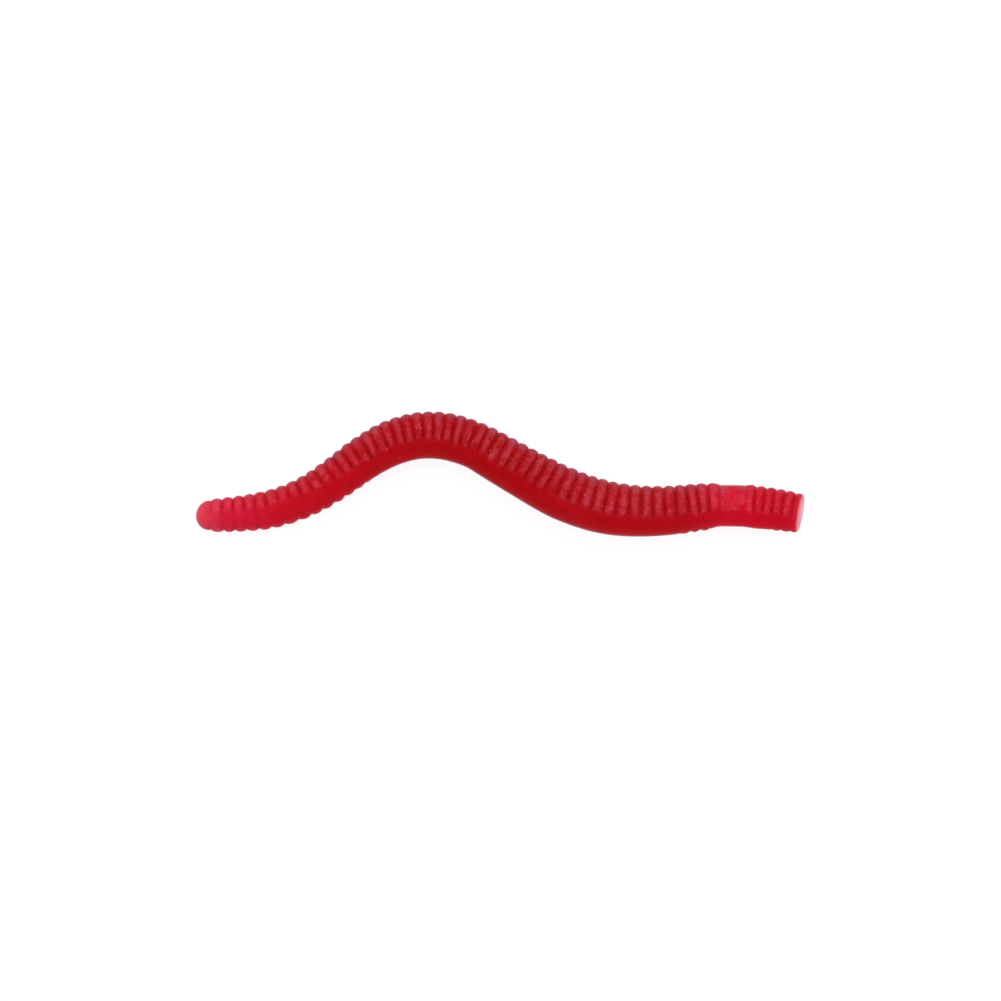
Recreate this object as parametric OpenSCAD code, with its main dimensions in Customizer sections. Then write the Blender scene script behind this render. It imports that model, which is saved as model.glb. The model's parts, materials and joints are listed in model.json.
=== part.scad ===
// Soft plastic worm, a ribbed trout worm that is fished on a small hook or jig head.
// It lies on its side on a table at z = 0, in a relaxed S: tail at -X, head at +X,
// ribbed back towards +Y and smooth belly towards -Y.
// The real worm is one soft moulding. Here it is cut across into short sections, and each
// section turns on the next about a round knuckle, where the soft body flexes.

/* [Ribs] */
// Distance from one body rib to the next, along the back
rib_pitch = 1.32; // [1.2:0.01:1.4]
// Distance from one rib to the next at the tail
tail_rib_pitch = 1.26; // [1.15:0.01:1.4]
// Distance from one head rib to the next
head_rib_pitch = 1.18; // [1.05:0.01:1.3]
// Ribs on each section
ribs = 3; // [3:1:4]
// Depth of the grooves between ribs
groove_depth = 0.26; // [0.15:0.01:0.35]
// How far the rounded tail tip reaches past the first groove
tip_len = 1.7; // [1.5:0.1:2.2]
// Length of the smooth saddle
saddle_len = 3.4; // [3.0:0.1:4.0]
// Length of the last rib, which ends in the head's flat face
rim_len = 0.95; // [0.7:0.05:1.2]

/* [Girth] */
// Diameter over the ribs at the tail
tail_d = 3.7; // [3.4:0.1:4.2]
// Diameter over the ribs along the arch
arch_d = 5.7; // [5.2:0.1:6.0]
// Diameter over the ribs at the thickest part
girth_d = 6.5; // [6.1:0.1:6.8]
// Diameter over the ribs just before the saddle
shoulder_d = 5.5; // [5.1:0.1:5.8]
// Diameter of the smooth saddle
saddle_d = 5.0; // [4.6:0.1:5.3]
// Diameter over the ribs just after the saddle
neck_d = 5.3; // [4.9:0.1:5.6]
// Diameter over the last head rib
head_d = 4.8; // [4.4:0.1:5.1]
// Diameter of the flat face at the head end
face_d = 3.8; // [3.2:0.1:4.2]

/* [Belly] */
// Half width of the smooth belly strip, as an angle round the body
belly_half = 36; // [25:1:42]
// Half width of the belly strip at the tail, where the ribs nearly close round the body
tail_belly_half = 12; // [8:1:20]
// Angle over which the ribs rise at the edge of the belly strip
belly_fade = 22; // [15:1:40]
// How far the belly strip lies under the rib tops, as a share of the groove depth
belly_drop = 0.35; // [0.1:0.05:0.6]

/* [Lie] */
// Direction in which the body starts at the tail tip, anticlockwise from +X
tail_heading = -4; // [-10:1:10]
// Lean of the head's flat face, upwards from square
face_lean = 10; // [0:1:15]

/* [Knuckles] */
// Knuckle radius, as a share of the body's radius there
knuckle_ratio = 1.3; // [1.25:0.01:1.4]
// How far a knuckle's nose reaches past the groove, as a share of the body's radius
knuckle_nose = 0.23; // [0.15:0.01:0.25]
// Gap between a knuckle and its socket
knuckle_gap = 0.06; // [0.04:0.01:0.12]

/* [Hidden] */
NODES = [
    "tail_tip",
    "section_01", "section_02", "section_03", "section_04",
    "section_05", "section_06", "section_07", "section_08",
    "section_09", "section_10", "section_11", "section_12",
    "section_13", "section_14", "section_15", "section_16",
    "saddle", "neck", "head"
];

SECTIONS = len(NODES);
SADDLE = 17;
NECK = 18;
HEAD = 19;

// How far the relaxed body turns over each section, tail first, anticlockwise positive
turns = [7, 5, 13, 12, 4, -8, -14, -17, -16, -12, 0, 2, 8, 12, 9, 7, -7, -4, -5, -2];

// The ribs are evenly spaced along a line on the back, this far from the body's middle line
back_offset = 2.2;
// Where the rings of a rib lie between one groove and the next
RIB_RINGS = [0, 0.22, 0.5, 0.78];
// Where the rings of the saddle lie between its two ends
SADDLE_RINGS = [0, 0.07, 0.2, 0.4, 0.6, 0.8, 0.93];
// Where the rings of the domed tip lie between the tip and the first groove
TIP_RINGS = [0.03, 0.12, 0.3, 0.55, 0.8];
// Where the rings of the head's rim lie between the last groove and the flat face
RIM_RINGS = [0, 0.4, 0.7, 0.9, 1];
// How full a rib is: a higher number gives a broader top and a narrower groove
rib_power = 3;
saddle_power = 10;
// How blunt the domed tip is: 2 is round
tip_fullness = 2.0;
// Number of sides of the body, and smoothness of the knuckles
SIDES = 24;
KNUCKLE_FN = 96;
// How far a section's skin runs past its ends before the knuckles trim it, in sections
TRIM_BEFORE = 0.36;
TRIM_AFTER = 0.28;

worm_red = [0.72, 0.04, 0.12];
tip_pink = [0.86, 0.16, 0.28];
saddle_rose = [0.80, 0.10, 0.20];
head_red = [0.78, 0.06, 0.16];

function ease(t) = let (c = min(1, max(0, t))) c * c * (3 - 2 * c);
function fraction(t) = t - floor(t);
function radians(degrees) = degrees * PI / 180;

// Whole ribs on a section, and how far apart they are
function ribs_on(k) = k == 0 || k == SADDLE ? 1 : k == HEAD ? ribs - 1 : ribs;
function pitch_on(k) = k >= NECK ? head_rib_pitch : lookup(k, [[0, tail_rib_pitch], [5, rib_pitch]]);

// Length of each section along the middle line: the back's length, less or more for the bend
function straight_len(k) =
    k == SADDLE ? saddle_len
    : ribs_on(k) * pitch_on(k) + (k == 0 ? tip_len : k == HEAD ? rim_len : 0);
lengths = [for (k = [0:SECTIONS - 1]) straight_len(k) + back_offset * radians(turns[k])];

// Headings at the section ends, and the ends themselves, with the tail tip at [0, 0]
function turn_over(k) = k < SECTIONS ? turns[k] : 0;
headings = [for (k = 0, h = tail_heading; k <= SECTIONS; h = h + turn_over(k), k = k + 1) h];
function arc_step(k, f) =
    let (
        half = turns[k] * f / 2,
        run = lengths[k] * f * (half == 0 ? 1 : sin(half) / radians(half))
    )
    run * [cos(headings[k] + half), sin(headings[k] + half)];
ends = [for (k = 0, p = [0, 0]; k <= SECTIONS; p = k < SECTIONS ? p + arc_step(k, 1) : p, k = k + 1) p];

// A station g counts sections from the tail tip: 2.5 is the middle of section_02
function section_of(g) = min(SECTIONS - 1, max(0, floor(g)));
function heading(g) = let (k = section_of(g)) headings[k] + turns[k] * (g - k);
function middle(g) = let (k = section_of(g)) ends[k] + arc_step(k, g - k);

// Radius over the ribs
girths = [
    [0, tail_d], [2, tail_d + 0.8], [6, arch_d - 0.2], [8, arch_d], [9.5, arch_d],
    [12.5, girth_d], [13.5, girth_d], [SADDLE, shoulder_d]
];
head_girths = [[NECK, neck_d], [SECTIONS, head_d]];
function girth_r(g) = lookup(g, concat(girths, head_girths)) / 2;
function crest(g) = g >= SADDLE && g <= NECK ? saddle_d / 2 : girth_r(g);

// Position within a rib, from 0 at one groove to 1 at the next
tip_share = tip_len / straight_len(0);
rim_share = rim_len / straight_len(HEAD);
function first_groove(k) = k == 0 ? tip_share : 0;
function last_groove(k) = k == HEAD ? 1 - rim_share : 1;
function groove_at(k, j) =
    k + first_groove(k) + (last_groove(k) - first_groove(k)) * j / ribs_on(k);
function rib_phase(g) =
    let (k = section_of(g), f = g - k, a = first_groove(k), b = last_groove(k))
    f < a ? 0.5 + 0.5 * f / a
    : f > b ? 0.5 * (f - b) / (1 - b)
    : fraction((f - a) / (b - a) * ribs_on(k));

// How deep the surface lies under the rib tops: 0 on a rib, 1 in a groove
function groove(g) =
    pow(abs(2 * rib_phase(g) - 1), section_of(g) == SADDLE ? saddle_power : rib_power);
function depth(g) = section_of(g) == SADDLE ? groove_depth / 3 : groove_depth;

// Direction of the belly's middle, as an angle round the body from the back's side: the
// tail is twisted so that its belly faces nearly up
belly_turns = [[0, 110], [3, 112], [5.5, 146], [SECTIONS, 152]];
function belly_angle(g) = lookup(g, belly_turns);
function belly_edge(g) = lookup(g, [[0, tail_belly_half], [6, belly_half]]);
// Ribs that run on across the belly near the tail, as a share of a full rib
function belly_ribs(g) = lookup(g, [[0, 0.45], [3, 0.25], [6, 0]]);
function ribbed(g, a) =
    let (away = abs(a - belly_angle(g)), near = min(away, 360 - away), low = belly_ribs(g))
    low + (1 - low) * ease((near - belly_edge(g)) / belly_fade);

// Rounding of the tail tip and of the rim at the head's flat end
function tip_round(g) = g >= tip_share ? 1 : sqrt(1 - pow(1 - g / tip_share, tip_fullness));
rim_start = SECTIONS - rim_share;
function rim_round(g) =
    g <= rim_start ? 1
    : let (t = (g - rim_start) / (SECTIONS - rim_start)) 1 - (1 - face_d / head_d) * pow(t, 4);

function skin(g, a) =
    let (r = ribbed(g, a), drop = r * groove(g) + (1 - r) * belly_drop)
    (crest(g) - depth(g) * drop) * tip_round(g) * rim_round(g);

// The part stands with the middle of its box over the origin
probe = [for (g = [0:0.1:SECTIONS]) [middle(g), crest(g)]];
low_y = min([for (p = probe) p[0].y - p[1]]);
high_y = max([for (p = probe) p[0].y + p[1]]);
low_x = min([for (p = probe) p[0].x]);
high_x = max([for (p = probe) p[0].x]);
centre = [(low_x + high_x) / 2, (low_y + high_y) / 2];

// Centre of the body at a station: the ribs rest on the table all along
function body_centre(g) = let (p = middle(g) - centre) [p.x, p.y, girth_r(g)];
function side_way(g) = [-sin(heading(g)), cos(heading(g)), 0];
function lean(g) = face_lean * ease((g - SADDLE) / 2);
function up_way(g) =
    [-sin(lean(g)) * cos(heading(g)), -sin(lean(g)) * sin(heading(g)), cos(lean(g))];
function ring(g) =
    [for (i = [0:SIDES - 1]) let (a = 360 * i / SIDES)
        body_centre(g) + skin(g, a) * (cos(a) * side_way(g) + sin(a) * up_way(g))];

// Stations of the rings on a section
function rings_on(k) = concat(
    [for (t = TIP_RINGS) if (k == 0) tip_share * t],
    [for (j = [0:ribs_on(k) - 1], t = k == SADDLE ? SADDLE_RINGS : RIB_RINGS) groove_at(k, j + t)],
    [for (t = RIM_RINGS) if (k == HEAD) rim_start + rim_share * t]
);
function rings_before(k) = k == 0 ? [] : [for (g = rings_on(k - 1)) if (g > k - TRIM_BEFORE) g];
function rings_after(k) = k == HEAD ? [] : [for (g = rings_on(k + 1)) if (g < k + 1 + TRIM_AFTER) g];

// Closed skin through a list of stations
module sweep(stations) {
    count = len(stations);
    points = [for (g = stations) each ring(g)];
    sides = [for (i = [0:count - 2], j = [0:SIDES - 1])
        let (n = (j + 1) % SIDES, a = i * SIDES, b = a + SIDES)
        each [[a + j, b + j, b + n], [a + j, b + n, a + n]]];
    first = [for (j = [0:SIDES - 1]) j];
    last = [for (j = [SIDES - 1:-1:0]) (count - 1) * SIDES + j];
    polyhedron(points, concat(sides, [first, last]));
}

// Knuckle k joins section k - 1 to section k. Odd ones turn about an upright axis and let the
// body sway sideways, even ones turn about a level axis across the body and let it lift.
function knuckle_r(k) = knuckle_ratio * girth_r(k);
function knuckle_back(k) = knuckle_r(k) - knuckle_nose * girth_r(k);
function knuckle_centre(k) =
    body_centre(k) - knuckle_back(k) * [cos(headings[k]), sin(headings[k]), 0];
function sways(k) = k % 2 == 1;

module knuckle(k, r) {
    translate(knuckle_centre(k))
        rotate([0, 0, headings[k]])
            rotate([sways(k) ? 0 : 90, 0, 0])
                cylinder(h = 4 * knuckle_r(k), r = r, center = true, $fn = KNUCKLE_FN);
}

// The space that a section may fill at its head end: up to the round of the next knuckle
module up_to_knuckle(k) {
    r = knuckle_r(k);
    reach = lengths[k - 1] + 2 * r;
    union() {
        knuckle(k, r);
        translate(knuckle_centre(k))
            rotate([0, 0, headings[k]])
                translate([-reach, -2 * r, -2 * r])
                    cube([reach, 4 * r, 4 * r]);
    }
}

module body_section(k) {
    difference() {
        intersection() {
            sweep(concat(rings_before(k), rings_on(k), rings_after(k)));
            up_to_knuckle(k + 1);
        }
        knuckle(k, knuckle_r(k) + knuckle_gap);
    }
}

module tail_tip() {
    color(tip_pink)
        intersection() {
            sweep(concat(rings_on(0), rings_after(0)));
            up_to_knuckle(1);
        }
}

module ribbed_section(k) {
    color(worm_red) body_section(k);
}

module saddle() {
    color(saddle_rose) body_section(SADDLE);
}

module neck() {
    color(head_red) body_section(NECK);
}

// The head ends in one flat face, trimmed square to the leaning end
module head() {
    trim = 0.02;
    color(head_red)
        difference() {
            sweep(concat(rings_before(HEAD), rings_on(HEAD)));
            knuckle(HEAD, knuckle_r(HEAD) + knuckle_gap);
            translate(body_centre(SECTIONS))
                rotate([0, -face_lean, headings[SECTIONS]])
                    translate([-trim, -head_d, -head_d])
                        cube([1, 2 * head_d, 2 * head_d]);
        }
}

tail_tip();
for (k = [1:SADDLE - 1]) ribbed_section(k);
saddle();
neck();
head();
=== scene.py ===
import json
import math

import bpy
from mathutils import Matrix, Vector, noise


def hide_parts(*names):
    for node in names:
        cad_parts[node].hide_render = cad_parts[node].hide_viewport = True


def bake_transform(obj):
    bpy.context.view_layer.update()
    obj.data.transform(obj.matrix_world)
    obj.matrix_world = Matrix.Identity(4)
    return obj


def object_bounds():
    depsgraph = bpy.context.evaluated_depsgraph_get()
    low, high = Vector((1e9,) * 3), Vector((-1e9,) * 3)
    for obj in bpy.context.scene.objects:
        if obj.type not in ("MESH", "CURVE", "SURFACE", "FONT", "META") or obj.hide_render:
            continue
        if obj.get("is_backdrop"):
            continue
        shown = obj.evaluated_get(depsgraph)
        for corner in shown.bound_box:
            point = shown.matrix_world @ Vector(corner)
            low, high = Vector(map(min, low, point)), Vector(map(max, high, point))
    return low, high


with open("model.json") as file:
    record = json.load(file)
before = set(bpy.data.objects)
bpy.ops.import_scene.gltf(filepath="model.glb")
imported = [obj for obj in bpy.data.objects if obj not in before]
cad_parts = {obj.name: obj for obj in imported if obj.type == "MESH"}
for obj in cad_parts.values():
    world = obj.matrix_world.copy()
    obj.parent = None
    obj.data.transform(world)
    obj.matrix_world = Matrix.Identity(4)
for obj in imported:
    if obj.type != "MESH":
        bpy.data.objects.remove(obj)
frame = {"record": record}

# A ribbed soft plastic trout worm, lying on its side in a relaxed S.
# The body is one long skin of plastisol, made in lengths, one for each hinge. They meet at
# the bottom of a rib groove, and once on the smooth saddle, halfway between two hinges.

MM = 0.001

# ---------------------------------------------------------------- the body's rule
# A station g counts the body's sections from the tail tip, so that 2.5 is the middle of section_02
BODIES = list(frame["record"]["behaviour"]["bodies"])
SECTIONS = len(BODIES)
SADDLE = BODIES.index("saddle")
NECK = BODIES.index("neck")
HEAD = BODIES.index("head")

# How far the relaxed body turns over each section, in degrees, tail first
TAIL_HEADING = -4
TURNS = [7, 5, 13, 12, 4, -8, -14, -17, -16, -12, 0, 2, 8, 12, 9, 7, -7, -4, -5, -2]
# The ribs are evenly spaced along a line on the back, this far from the body's middle line. Lengths
# and thicknesses are in millimetres
BACK_OFFSET = 2.2
TAIL_PITCH = 1.26
BODY_PITCH = 1.32
HEAD_PITCH = 1.18
TIP_LENGTH = 1.7
SADDLE_LENGTH = 3.4
RIM_LENGTH = 0.95
GROOVE_DEPTH = 0.26
# The flat face at the head, the share of the rim that is still straight, and how the face leans
FACE_RADIUS = 1.9
RIM_STRAIGHT = 0.35
FACE_LEAN = 10

# Tables give a value at some stations, and between() fills in the rest. First the thickness
GIRTHS = [(0, 3.7), (2, 4.5), (6, 5.5), (8, 5.7), (9.5, 5.7), (12.5, 6.5), (13.5, 6.5), (17, 5.5)]
HEAD_GIRTHS = [(18, 5.3), (20, 4.8)]
SADDLE_GIRTH = 5.0
# The saddle's waist starts this many stations before it: at once on the ribs, slowly on the belly
RIB_REACH = 0.04
BELLY_REACH = 0.5
# Where the middle of the smooth belly faces, in degrees round the body from the back's side
BELLY_FACES = [(0, 110), (3, 112), (5.5, 146), (20, 152)]
# Half the width of the smooth strip, how uneven its edge is and how wide it fades, in degrees
BELLY_HALF = [(0, 12), (6, 36)]
BELLY_UNEVEN = 12
BELLY_FADE = 22
# At the tail the ribs run on across the belly, lower
BELLY_RIBS = [(0, 0.45), (3, 0.25), (6, 0)]
# The smooth strip lies this share of the groove depth under the rib tops
BELLY_DROP = 0.35
# Just before the saddle and at the head end, rib ends reach the belly's lower edge. That edge starts
# and ends at these degrees, and the rib ends rise over the first few
LOWER_RIBS = [(15.6, 0), (15.9, 0.8), (16.6, 0.8), (16.8, 0), (18.8, 0), (19.2, 0.6), (20, 0.6)]
LOWER_EDGE = 160
LOWER_EDGE_END = 300
LOWER_FADE = 14
# A fuller rib is flatter on top, with a narrower groove, and ribs differ by this much
FULLNESS = 2.1
FULLNESS_CHANGE = 0.7
# Around the saddle the grooves lose this share of their depth
SHALLOWER = 0.6
# The saddle has no ribs, only a faint edge where it meets them
SADDLE_EDGE = 0.4
SADDLE_EDGE_POWER = 10
# Moulded plastic is uneven: how far a rib strays, in stations, and slow swells and nicks in the skin
STRAY = 0.03
SWELL = 0.035
NICK = 0.02
# How strong the painted sheen on the rib tops, the painted shade in the grooves and the painted
# reflection on the back's crests are along the body
PAINTED_LIGHT_STRENGTH = [(0, 0.5), (3, 0.7), (8, 1), (15, 0.95), (17, 0.8), (17.2, 0.6), (18, 0.6), (20, 0.6)]


def ease(t):
    """A smooth rise from 0 to 1."""
    t = min(1, max(0, t))
    return t * t * (3 - 2 * t)


def between(table, x):
    """The value at x on straight lines through the table's points."""
    for (x0, y0), (x1, y1) in zip(table, table[1:]):
        if x <= x1:
            return y0 + (y1 - y0) * max(0, x - x0) / (x1 - x0)
    return table[-1][1]


def ribs_on(k):
    return 1 if k in (0, SADDLE) else 2 if k == HEAD else 3


def pitch_on(k):
    return HEAD_PITCH if k >= NECK else between([(0, TAIL_PITCH), (5, BODY_PITCH)], k)


def section_length(k):
    ends = TIP_LENGTH if k == 0 else RIM_LENGTH if k == HEAD else 0
    straight = SADDLE_LENGTH if k == SADDLE else ribs_on(k) * pitch_on(k) + ends
    return straight + BACK_OFFSET * math.radians(TURNS[k])


LENGTHS = [section_length(k) for k in range(SECTIONS)]
HEADINGS = [TAIL_HEADING + sum(TURNS[:k]) for k in range(SECTIONS + 1)]


def arc_step(k, f):
    """The way along the first share f of a section, which is an arc."""
    half = math.radians(TURNS[k] * f / 2)
    run = LENGTHS[k] * f * (math.sin(half) / half if half else 1)
    way = math.radians(HEADINGS[k]) + half
    return Vector((run * math.cos(way), run * math.sin(way), 0))


ENDS = [Vector((0, 0, 0))]
for k in range(SECTIONS):
    ENDS.append(ENDS[k] + arc_step(k, 1))


def section_of(g):
    return min(SECTIONS - 1, max(0, math.floor(g)))


def heading(g):
    k = section_of(g)
    return math.radians(HEADINGS[k] + TURNS[k] * (g - k))


def middle(g):
    """A point on the body's middle line, in millimetres from the tail's end."""
    k = section_of(g)
    return ENDS[k] + arc_step(k, g - k)


def rib_radius(g):
    """Radius over the ribs, without the saddle's waist: the body rests on them."""
    return between(GIRTHS + HEAD_GIRTHS, g) / 2


def waist(g, reach):
    """1 along the saddle, and 0 from that reach before and after it."""
    return ease((g - SADDLE + reach) / (reach + 0.1)) * ease((NECK + reach - g) / (reach + 0.1))


def crest(g, rib=1):
    """Radius over the ribs, with the waist. It is short on the ribs and long on the belly."""
    inward = SADDLE_GIRTH / 2 - rib_radius(g)
    return rib_radius(g) + inward * (rib * waist(g, RIB_REACH) + (1 - rib) * waist(g, BELLY_REACH))


TIP_SHARE = TIP_LENGTH / (TIP_LENGTH + pitch_on(0))
RIM_SHARE = RIM_LENGTH / (RIM_LENGTH + 2 * pitch_on(HEAD))
RIM_START = SECTIONS - RIM_SHARE


def rib_span(k):
    """The part of a section that has ribs: the tip comes before it, or the rim after it."""
    return (TIP_SHARE if k == 0 else 0), (1 - RIM_SHARE if k == HEAD else 1)


def rib_phase(g):
    """Where a station is between one groove, at 0, and the next, at 1."""
    k = section_of(g)
    f = g - k
    first, last = rib_span(k)
    if f < first:
        return 0.5 + 0.5 * f / first
    if f > last:
        return 0.5 * (f - last) / (1 - last)
    return (f - first) / (last - first) * ribs_on(k) % 1


def grain(x, y, seed):
    """Smooth noise from -1 to 1."""
    return noise.noise(Vector((x, y, seed)))


def groove(g, turn):
    """How deep the skin lies under the rib tops: 0 on a rib and 1 in a groove. No rib is quite
    straight or quite as wide as the next."""
    # Ribs keep their places at the two ends and beside the saddle
    inside = ease(g / 0.5) * ease((SECTIONS - 0.1 - g) / 0.3)
    beside = ease((g - SADDLE + 0.1) / 0.1) * ease((NECK + 0.1 - g) / 0.1)
    stray = STRAY * inside * (1 - beside)
    sway = stray * grain(1.7 * g, 1.3 * math.cos(turn), 1 + 0.9 * math.sin(turn))
    phase = rib_phase(g + sway)
    if section_of(g + sway) == SADDLE:
        return SADDLE_EDGE * abs(2 * phase - 1) ** SADDLE_EDGE_POWER
    depth = 1 - SHALLOWER * ease((g - SADDLE + 0.3) / 0.3) * ease((NECK + 0.3 - g) / 0.3)
    fullness = FULLNESS + FULLNESS_CHANGE * grain(2.9 * g, math.cos(turn), 7 + math.sin(turn))
    return depth * abs(2 * phase - 1) ** fullness


def ribbed(g, turn):
    """1 where the body has ribs, and 0 on the smooth belly. The ribs end a little unevenly."""
    degrees = math.degrees(turn)
    away = abs(degrees - between(BELLY_FACES, g))
    away = min(away, 360 - away)
    edge = between(BELLY_HALF, g) + BELLY_UNEVEN * grain(3.1 * g, 0, 3)
    low = between(BELLY_RIBS, g)
    if LOWER_EDGE < degrees < LOWER_EDGE_END:
        low = max(low, between(LOWER_RIBS, g) * ease((degrees - LOWER_EDGE) / LOWER_FADE))
    return low + (1 - low) * ease((away - edge) / BELLY_FADE)


def end_round(g):
    """The share of the radius that is left where the tail tip and the head's rim round off."""
    if g < TIP_SHARE:
        return (1 - (1 - g / TIP_SHARE) ** 2) ** 0.5
    if g > RIM_START:
        t = max(0, (g - RIM_START) / RIM_SHARE - RIM_STRAIGHT) / (1 - RIM_STRAIGHT)
        return 1 - (1 - FACE_RADIUS / rib_radius(SECTIONS)) * (1 - math.sqrt(max(0, 1 - t * t)))
    return 1


def skin(g, turn):
    """Radius of the skin, and how high it stands between groove and rib top."""
    rib = ribbed(g, turn)
    drop = rib * groove(g, turn) + (1 - rib) * BELLY_DROP
    swell = SWELL * grain(1.1 * g, math.cos(turn), 11 + math.sin(turn))
    nick = NICK * rib * grain(9 * g, 4 * math.cos(turn), 4 * math.sin(turn))
    return (crest(g, rib) - GROOVE_DEPTH * drop + swell + nick) * end_round(g), 1 - drop


# The tail tip and the back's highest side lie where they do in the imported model's box
low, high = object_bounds()
probes = [(middle(g / 10), crest(g / 10)) for g in range(10 * SECTIONS + 1)]
TAIL_END = Vector((
    low[0] - MM * min(p.x for p, r in probes),
    high[1] - MM * max(p.y + r for p, r in probes),
    0))


def body_centre(g):
    """A point on the body's middle line, where it lies on the table."""
    place = middle(g)
    return TAIL_END + MM * Vector((place.x, place.y, rib_radius(g)))


def skin_point(g, turn, under=0):
    """A point on the skin, or that far under it, and its height between groove and rib top."""
    way = heading(g)
    lean = math.radians(FACE_LEAN) * ease((g - SADDLE) / 2)
    side = Vector((-math.sin(way), math.cos(way), 0))
    up = Vector((-math.sin(lean) * math.cos(way), -math.sin(lean) * math.sin(way), math.cos(lean)))
    r, height = skin(g, turn)
    outward = math.cos(turn) * side + math.sin(turn) * up
    return body_centre(g) + MM * (r - under) * outward, height


# ---------------------------------------------------------------- camera and lights
# The camera looks straight down from this height, in metres. It stands off the middle of the model's
# box by this much, in millimetres
CAMERA_HEIGHT = 0.6
CAMERA_ASIDE = (0.04, -3.14)
CAMERA_LENS = 181.5


def make_camera():
    data = bpy.data.cameras.new("camera")
    camera = bpy.data.objects.new("camera", data)
    bpy.context.scene.collection.objects.link(camera)
    aside, below = (MM * step for step in CAMERA_ASIDE)
    camera.location = ((low[0] + high[0]) / 2 + aside, (low[1] + high[1]) / 2 + below, CAMERA_HEIGHT)
    data.lens = CAMERA_LENS
    data.sensor_width = 36
    data.clip_start = 0.01
    data.clip_end = 10
    bpy.context.scene.camera = camera


def soft_light(name, place, aim, size, watts):
    data = bpy.data.lights.new(name, "AREA")
    data.shape = "RECTANGLE"
    data.size, data.size_y = size
    data.energy = watts
    light = bpy.data.objects.new(name, data)
    bpy.context.scene.collection.objects.link(light)
    light.location = place
    light.rotation_euler = (Vector(aim) - Vector(place)).to_track_quat("-Z", "Y").to_euler()
    return light


def light_studio():
    """A white room that lights evenly, a large lamp overhead and a softbox beyond the back."""
    bpy.context.scene.view_settings.view_transform = "Standard"
    world = bpy.data.worlds.new("studio")
    bpy.context.scene.world = world
    world.use_nodes = True
    world.node_tree.nodes["Background"].inputs["Color"].default_value = (0.98, 0.98, 0.98, 1)
    world.node_tree.nodes["Background"].inputs["Strength"].default_value = 1.0
    world.cycles_visibility.glossy = False
    overhead = soft_light("overhead", (0, 0.04, 0.55), aim=(0, 0, 0), size=(0.5, 0.5), watts=0.35)
    overhead.visible_glossy = False
    soft_light("softbox", (-0.05, 0.34, 0.34), aim=(0, 0, 0), size=(0.36, 0.16), watts=0.65)


# ---------------------------------------------------------------- shader maths and finishes
# What the skin's mesh carries for its finish: how far along the body a point is, how high between
# groove and rib top, whether it is ribbed, how much it faces the back's side, and how strong its
# painted light and shade are
FIELDS = ("along", "height", "ribs", "back", "painted_light")


class Value:
    """A shader socket that can be added to, multiplied and so on, in plain expressions."""

    def __init__(self, tree, socket):
        self.tree = tree
        self.socket = socket

    def math(self, operation, *others, **settings):
        node = self.tree.nodes.new("ShaderNodeMath")
        node.operation = operation
        for name, value in settings.items():
            setattr(node, name, value)
        for place, item in zip(node.inputs, (self, *others)):
            plug(self.tree, place, item)
        return Value(self.tree, node.outputs[0])

    def __add__(self, other):
        return self.math("ADD", other)

    __radd__ = __add__

    def __mul__(self, other):
        return self.math("MULTIPLY", other)

    __rmul__ = __mul__

    def __sub__(self, other):
        return self.math("SUBTRACT", other)

    def __rsub__(self, other):
        return (self * -1) + other

    def clamped(self):
        return self.math("ADD", 0.0, use_clamp=True)


def plug(tree, socket, item):
    if isinstance(item, Value):
        tree.links.new(item.socket, socket)
    else:
        socket.default_value = item


class Finish:
    """A material under way: node() adds any node, with its settings first and its sockets after."""

    def __init__(self, name):
        self.material = bpy.data.materials.new(name)
        self.material.use_nodes = True
        self.tree = self.material.node_tree
        self.tree.nodes.clear()

    def node(self, kind, settings=None, output=0, stops=None, **sockets):
        made = self.tree.nodes.new("ShaderNode" + kind)
        for name, value in (settings or {}).items():
            setattr(made, name, value)
        if stops:
            ramp = made.color_ramp
            while len(ramp.elements) < len(stops):
                ramp.elements.new(0.5)
            for element, (place, colour) in zip(ramp.elements, stops):
                element.position = place
                element.color = (*colour, 1)
        for name, item in sockets.items():
            plug(self.tree, made.inputs[name.replace("_", " ")], item)
        return Value(self.tree, made.outputs[output])

    def field(self, name):
        """A value that the skin's mesh carries at each point."""
        return self.node("Attribute", {"attribute_name": name}, output=2)

    def noise(self, where, scale, detail=2.0, roughness=0.5):
        return self.node("TexNoise", Vector=where, Scale=scale, Detail=detail, Roughness=roughness)

    def mix(self, factor, a, b, blend="MIX"):
        made = self.tree.nodes.new("ShaderNodeMix")
        made.data_type = "RGBA"
        made.blend_type = blend
        for place, item in (("Factor_Float", factor), ("A_Color", a), ("B_Color", b)):
            socket = next(s for s in made.inputs if s.identifier == place)
            plug(self.tree, socket, item if isinstance(item, (Value, float, int)) else (*item, 1))
        return Value(self.tree, next(s for s in made.outputs if s.identifier == "Result_Color"))

    def done(self, shader):
        out = self.tree.nodes.new("ShaderNodeOutputMaterial")
        self.tree.links.new(shader.socket, out.inputs["Surface"])
        return self.material


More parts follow.
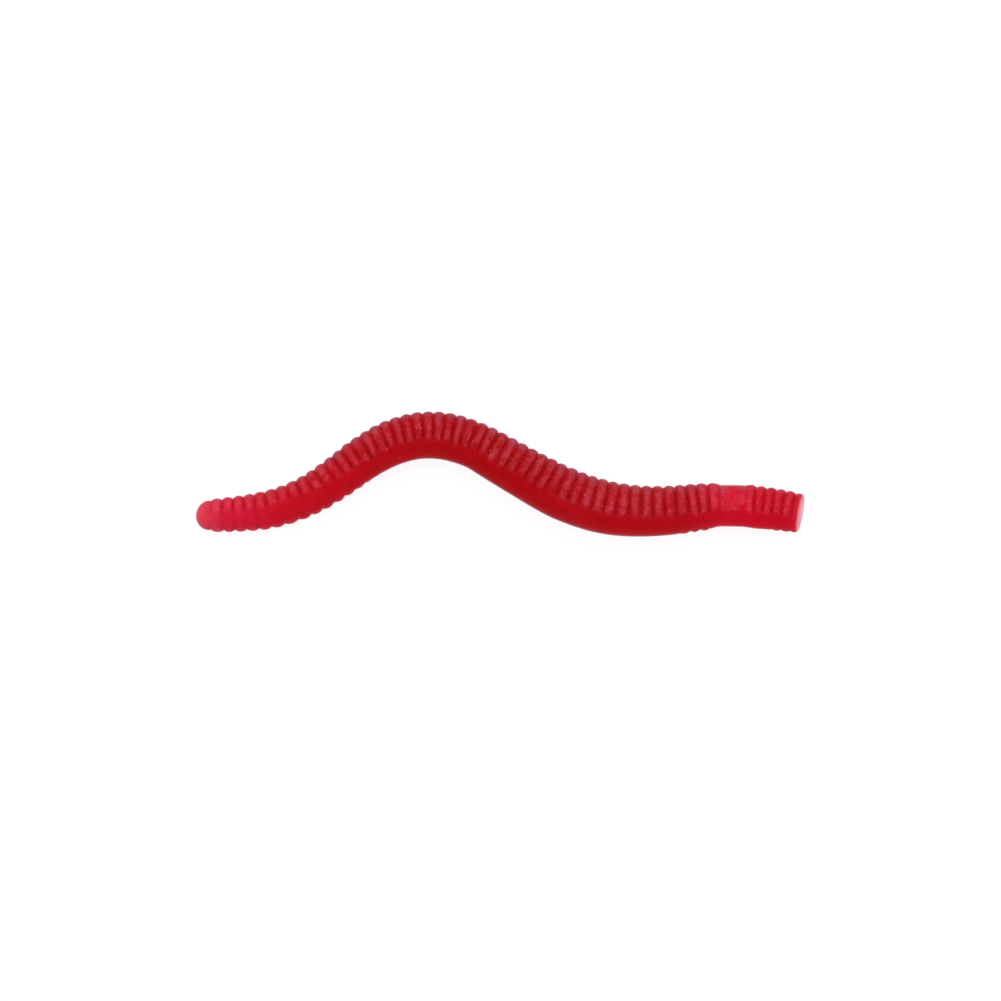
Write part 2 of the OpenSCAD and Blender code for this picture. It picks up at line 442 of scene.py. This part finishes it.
def plastisol(name):
    """Translucent red soft plastic, deep red along the body. A painted glow of light through thin
    plastic makes the tail pink and the cut end whitish; the rib tops are paler with a painted sheen,
    and the grooves darker with painted shade."""
    finish = Finish(name)
    where = finish.node("TexCoord", output=3)
    along, height, ribs, back, painted_light_strength = (finish.field(field) for field in FIELDS)

    # From the tail tip, at 0, to the head's cut end, at 1. The deep red is the plastic's own colour;
    # the pinker tail tip and saddle and the whitish cut end are a painted glow of light through thinner
    # plastic
    body = finish.node("ValToRGB", Fac=along, stops=[
        (0.00, (0.66, 0.050, 0.090)),
        (0.05, (0.57, 0.007, 0.034)),
        (0.14, (0.49, 0.001, 0.010)),
        (0.28, (0.40, 0.0005, 0.004)),
        (0.50, (0.35, 0.0003, 0.002)),
        (0.80, (0.40, 0.0005, 0.005)),
        (0.87, (0.54, 0.0005, 0.014)),
        (0.97, (0.49, 0.0005, 0.010)),
        (0.996, (0.52, 0.004, 0.022)),
        (1.00, (0.82, 0.24, 0.28))])

    # Clouds inside the plastic, fine streaks, and fibres that run round the body
    cloud = finish.noise(where, 700, 3.0, 0.6)
    streak = finish.noise(where, 2600, 4.0, 0.65)
    across = finish.node("CombineXYZ", X=along * 190, Y=back * 2.2, Z=ribs * 0.5)
    fibre = finish.noise(across, 1.0, 3.0, 0.65)
    mottle = 4.0 * (streak - 0.5) + 3.0 * (cloud - 0.5) + 3.0 * (fibre - 0.5)
    body = finish.mix(((cloud - 0.5) * 1.2).clamped(), body, (0.60, 0.002, 0.018))

    # Painted sheen on the mottled rib tops, painted shade in the grooves, and a painted greyish
    # reflection along the crests on the back's side
    top = ((height - 0.55) * 2.6).clamped() * ((ribs - 0.25) * 1.5).clamped()
    # Painted sheen: a whitish-pink haze added to the colour of the rib tops
    painted_light = (top * painted_light_strength * (0.70 + mottle)).clamped()
    body = finish.mix(painted_light, body, (0.016, 0.024, 0.038), "ADD")
    # Painted shade: the grooves are made a deeper, darker red
    painted_groove_shade = ((1 - height) * ribs * painted_light_strength * (0.7 + 2.5 * (fibre - 0.5))).clamped()
    body = finish.mix(painted_groove_shade, body, (0.27, 0.0, 0.001))
    # Painted reflection: a greyish-violet haze on the rib crests that face the back's side, which is
    # the body's edge seen from above
    painted_crest_reflection = (top * painted_light_strength * ((back - 0.50) * 2.2).clamped() * (0.60 + 0.7 * mottle)).clamped()
    body = finish.mix(painted_crest_reflection * 0.85, body, (0.22, 0.055, 0.085))

    # Specks on the ribs and on the cut end: glossier and raised, with a painted pinkish glint in their
    # colour
    cut_end = ((along - 0.985) * 90).clamped()
    specks_with_painted_glint = ((finish.noise(where, 4200, 3.0, 0.7) - 0.58) * 7).clamped()
    specks_with_painted_glint = specks_with_painted_glint * ((ribs - 0.1) * 2 + cut_end).clamped()
    specks_with_painted_glint = (specks_with_painted_glint * ((cloud - 0.45) * 8 + cut_end).clamped()).clamped()
    body = finish.mix(specks_with_painted_glint * 0.8, body, (0.78, 0.10, 0.15))

    gloss = 0.30 + 0.16 * ribs + 0.10 * (streak - 0.5) - 0.18 * specks_with_painted_glint
    relief = finish.noise(where, 3400, 5.0, 0.6) * (0.35 + 0.65 * ribs) + 0.8 * specks_with_painted_glint
    bump = finish.node("Bump", Height=relief, Strength=0.30, Distance=0.00005)
    shader = finish.node("BsdfPrincipled", Base_Color=body, Roughness=gloss, Normal=bump)
    sockets = shader.socket.node.inputs
    sockets["Specular IOR Level"].default_value = 0.07
    sockets["Sheen Weight"].default_value = 1.0
    sockets["Sheen Roughness"].default_value = 0.28
    sockets["Sheen Tint"].default_value = (0.55, 0.50, 0.62, 1)
    sockets["Subsurface Weight"].default_value = 0.55
    sockets["Subsurface Radius"].default_value = (1.0, 0.16, 0.12)
    sockets["Subsurface Scale"].default_value = 0.0006
    return finish.done(shader)


def milky_plate():
    """What dips below the table at a pose shows through it, paler."""
    finish = Finish("milky_plate")
    where = finish.node("TexCoord", output=3)
    tone = finish.noise(where, 900, 3.0)
    colour = finish.mix(tone * 0.3, (0.90, 0.90, 0.90), (0.87, 0.87, 0.87))
    shader = finish.node("BsdfPrincipled", Base_Color=colour, Roughness=0.8)
    sockets = shader.socket.node.inputs
    sockets["Emission Color"].default_value = (1, 1, 1, 1)
    sockets["Emission Strength"].default_value = 0.35
    sockets["Alpha"].default_value = 0.25
    return finish.done(shader)


# ---------------------------------------------------------------- the table
TABLE_SIZE = 1.6
TABLE_GAP = 0.02 * MM


def lay_table():
    """A wide plate, just under the lowest ribs."""
    bpy.ops.object.select_all(action="DESELECT")
    bpy.ops.mesh.primitive_plane_add(size=TABLE_SIZE, location=(0, 0, -TABLE_GAP))
    table = bpy.context.object
    table.name = "table"
    table.data.materials.append(milky_plate())
    table.visible_glossy = False
    table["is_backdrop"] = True


# ---------------------------------------------------------------- the body's skin
SIDES = 144
RINGS_PER_RIB = 18
# A stretch without a groove that is longer than this, in stations, has more rings: the saddle
LONG_STRETCH = 0.5
LONG_STRETCH_RINGS = 3 * RINGS_PER_RIB
# The tail tip's rings, as shares of its length, are closer together where it is more curved
TIP_RINGS = [0.002, 0.008, 0.02, 0.04, 0.07, 0.11, 0.16, 0.22, 0.29, 0.37, 0.46, 0.56, 0.67, 0.78, 0.89]
# Past its end, each length has a short tongue inside the next, in stations, and a little thinner
# than the skin, in millimetres
TONGUE = 0.004
TONGUE_DROP = 0.012
# Stations closer than this are the same
NEAR = 0.01
# The middle line is searched for the hinges in this many steps to a section
HINGE_STEPS = 50
# Two lengths meet in a groove if one is this near the point halfway between their hinges
SEAM_REACH = 0.25
# This near a seam, in stations, is left out of the stretch around each hinge that build_body works out
SEAM_STIFF = 0.12
# That stretch reaches this much further on one side of its hinge than on the other, at the most
LOPSIDED = 1.3
SMOOTH_ANGLE = 35


def grooves(start, end):
    """The stations of all grooves from start to end."""
    found = []
    for k in range(SECTIONS):
        first, last = rib_span(k)
        found += [k + first + (last - first) * j / ribs_on(k) for j in range(ribs_on(k))]
    found += [RIM_START]
    return [g for g in found if start + NEAR < g < end - NEAR]


def hinge_station(joint):
    """The station on the body's middle line that is nearest to a hinge."""
    place = Vector(joint["pos_m"])
    place.z = 0
    options = [step / HINGE_STEPS for step in range(HINGE_STEPS * SECTIONS + 1)]
    return min(options, key=lambda g: (TAIL_END + MM * middle(g) - place).length)


HINGES = [hinge_station(joint) for joint in frame["record"]["behaviour"]["joints"]]


def seam(k):
    """Where length k starts. Length k is the one for hinge k, and meets the length before it halfway
    between their hinges: in the nearest groove, or on the smooth saddle."""
    if k == 1:
        return TIP_SHARE * TIP_RINGS[0]
    if k == SECTIONS:
        return SECTIONS
    halfway = (HINGES[k - 2] + HINGES[k - 1]) / 2
    nearest = min(grooves(0, SECTIONS), key=lambda g: abs(g - halfway))
    return nearest if abs(nearest - halfway) < SEAM_REACH else halfway


def stations(start, end):
    """Where the rings of a length stand."""
    marks = [start, *grooves(start, end), end]
    found = []
    for a, b in zip(marks, marks[1:]):
        if a < NEAR:
            found += [TIP_SHARE * t for t in TIP_RINGS]
        else:
            count = LONG_STRETCH_RINGS if b - a > LONG_STRETCH else RINGS_PER_RIB
            found += [a + (b - a) * i / count for i in range(count)]
    return found + [end]


def plain_tube(name, rings):
    """A straight tube with closed ends and that many rings, which stands from -1 to 1."""
    bpy.ops.object.select_all(action="DESELECT")
    bpy.ops.mesh.primitive_cylinder_add(vertices=SIDES, radius=1, depth=2, end_fill_type="NGON")
    tube = bpy.context.object
    tube.name = name
    bpy.ops.object.mode_set(mode="EDIT")
    bpy.ops.mesh.select_mode(type="EDGE")
    bpy.ops.mesh.select_all(action="DESELECT")
    bpy.ops.object.mode_set(mode="OBJECT")
    for edge in tube.data.edges:
        a, b = (tube.data.vertices[i].co for i in edge.vertices)
        edge.select = abs(a.z - b.z) > 1
    bpy.ops.object.mode_set(mode="EDIT")
    bpy.ops.mesh.subdivide_edgering(number_cuts=rings - 2, interpolation="LINEAR")
    bpy.ops.object.mode_set(mode="OBJECT")
    return tube


def body_length(name, start, end):
    """One length of the body: a tube with each ring set on the skin's rule."""
    rings = stations(start, end)
    tongues = []
    if start > NEAR:
        rings.insert(0, start - TONGUE)
        tongues.append(rings[0])
    if end < SECTIONS:
        rings.append(end + TONGUE)
        tongues.append(rings[-1])
    piece = plain_tube(name, len(rings))
    fields = {field: [] for field in FIELDS}
    for vertex in piece.data.vertices:
        g = rings[round((vertex.co.z + 1) / 2 * (len(rings) - 1))]
        turn = math.atan2(vertex.co.y, vertex.co.x) % math.tau
        vertex.co, height = skin_point(g, turn, TONGUE_DROP if g in tongues else 0)
        fields["along"].append(g / SECTIONS)
        fields["height"].append(height)
        fields["ribs"].append(ribbed(g, turn))
        fields["back"].append(math.cos(turn))
        fields["painted_light"].append(between(PAINTED_LIGHT_STRENGTH, g))
    for field, values in fields.items():
        piece.data.attributes.new(field, "FLOAT", "POINT").data.foreach_set("value", values)
    bpy.ops.object.mode_set(mode="EDIT")
    bpy.ops.mesh.select_all(action="SELECT")
    bpy.ops.mesh.normals_make_consistent(inside=False)
    bpy.ops.object.mode_set(mode="OBJECT")
    bpy.ops.object.shade_smooth_by_angle(angle=math.radians(SMOOTH_ANGLE))
    return piece


def build_body():
    finishes = {slot: plastisol(slot) for slot in
                ("tip_plastisol", "body_plastisol", "saddle_plastisol", "head_plastisol")}
    slots = {1: "tip_plastisol", SADDLE + 1: "saddle_plastisol", HEAD: "head_plastisol"}
    for k in range(1, SECTIONS):
        start, end = seam(k), seam(k + 1)
        piece = body_length(f"body_{k:02d}", start, end)
        slot = slots.get(k, "body_plastisol")
        piece.data.materials.clear()
        piece.data.materials.append(finishes[slot])
        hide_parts(*(BODIES[k - 1:] if k == HEAD else [BODIES[k - 1]]))
        hinge = HINGES[k - 1]
        before = hinge - start - (SEAM_STIFF if k > 1 else 0)
        after = end - hinge - SEAM_STIFF
        bend_start = body_centre(hinge - min(before, LOPSIDED * after))
        bend_end = body_centre(hinge + min(after, LOPSIDED * before))
        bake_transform(piece)


# ---------------------------------------------------------------- the scene
make_camera()
light_studio()
lay_table()
build_body()

low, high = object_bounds()
